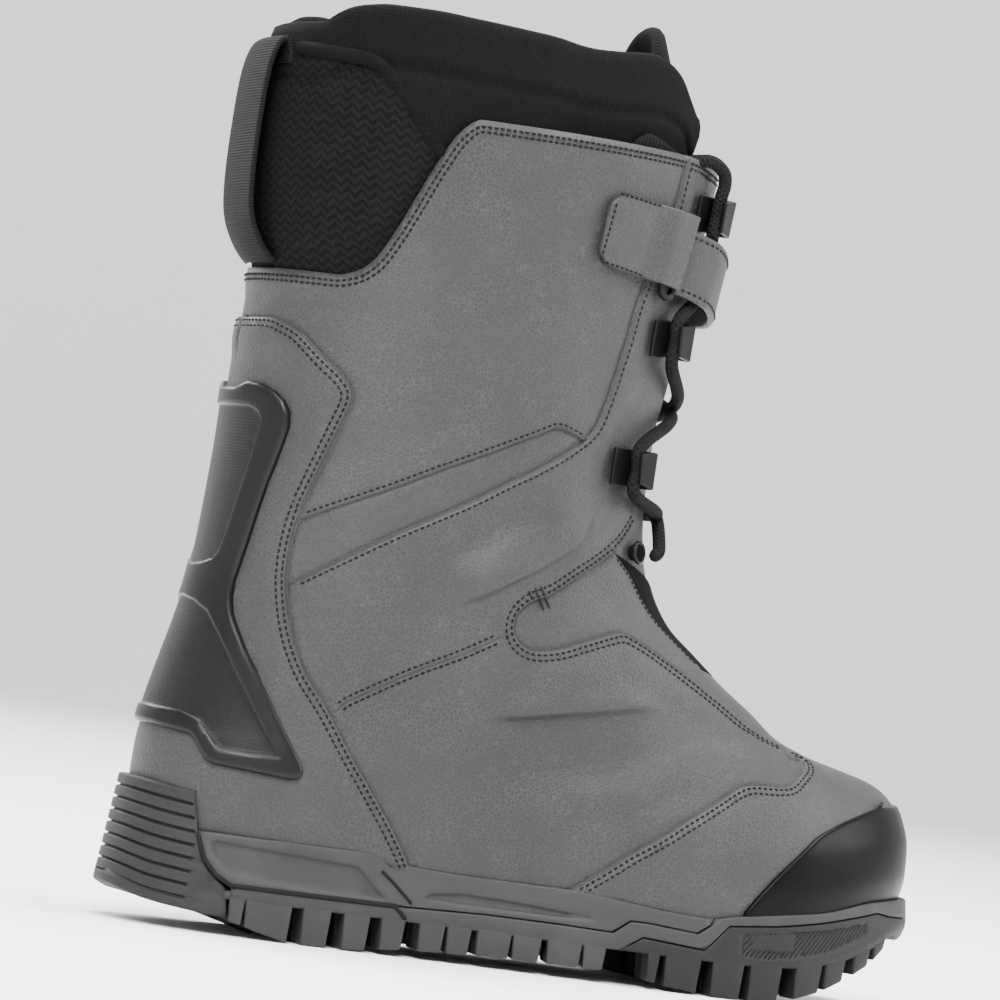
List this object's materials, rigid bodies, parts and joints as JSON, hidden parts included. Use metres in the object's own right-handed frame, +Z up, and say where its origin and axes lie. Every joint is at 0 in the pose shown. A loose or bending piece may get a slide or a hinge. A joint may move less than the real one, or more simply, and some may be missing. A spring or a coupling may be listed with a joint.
{
  "type": "snowmobile boot",
  "caption": "Tall lined winter boot for the right foot: hollow grey shell, padded knit liner, rubber toe cap, lugged sole, lace hooks and a strap over the shaft.",
  "frame": {"origin": "on the floor, at the middle of the boot's length and width", "axes": "+X from the heel to the toe, +Z up, the outer side of the foot at -Y"},
  "size_m": [0.3218, 0.1183, 0.3531],
  "materials": {
    "leather": "grey synthetic leather with a fine grain",
    "liner_knit": "black knit over padding",
    "tongue_mesh": "black spacer mesh",
    "webbing": "black woven webbing",
    "lace_cord": "black braided cord",
    "toe_rubber": "smooth satin black rubber",
    "heel_plastic": "matte black plastic",
    "midsole_panel": "dark grey moulded rubber",
    "sole_frame": "dark grey moulded rubber",
    "sole_rubber": "dark grey ribbed rubber",
    "tread_rubber": "near black tread rubber",
    "insole_cloth": "cloth-topped foam",
    "ring_metal": "black coated wire",
    "hook_metal": "black coated metal"
  },
  "bodies": {
    "root": {"upper": "leather", "strap": "leather", "strap_tab": "leather", "liner": "liner_knit", "tongue": "tongue_mesh", "liner_tongue": "tongue_mesh", "pull_loop": "webbing", "lace": "lace_cord", "toe_cap": "toe_rubber", "heel_plate": "heel_plastic", "midsole": "midsole_panel", "outsole": "sole_frame", "heel_wrap": "sole_rubber", "forefoot_tread": "tread_rubber", "insole": "insole_cloth", "strap_ring": "ring_metal", "eyelet_outer": "hook_metal", "eyelet_inner": "hook_metal", "hook_outer_1": "hook_metal", "hook_outer_2": "hook_metal", "hook_outer_3": "hook_metal", "hook_inner_1": "hook_metal", "hook_inner_2": "hook_metal", "hook_inner_3": "hook_metal"}
  },
  "joints": []
}
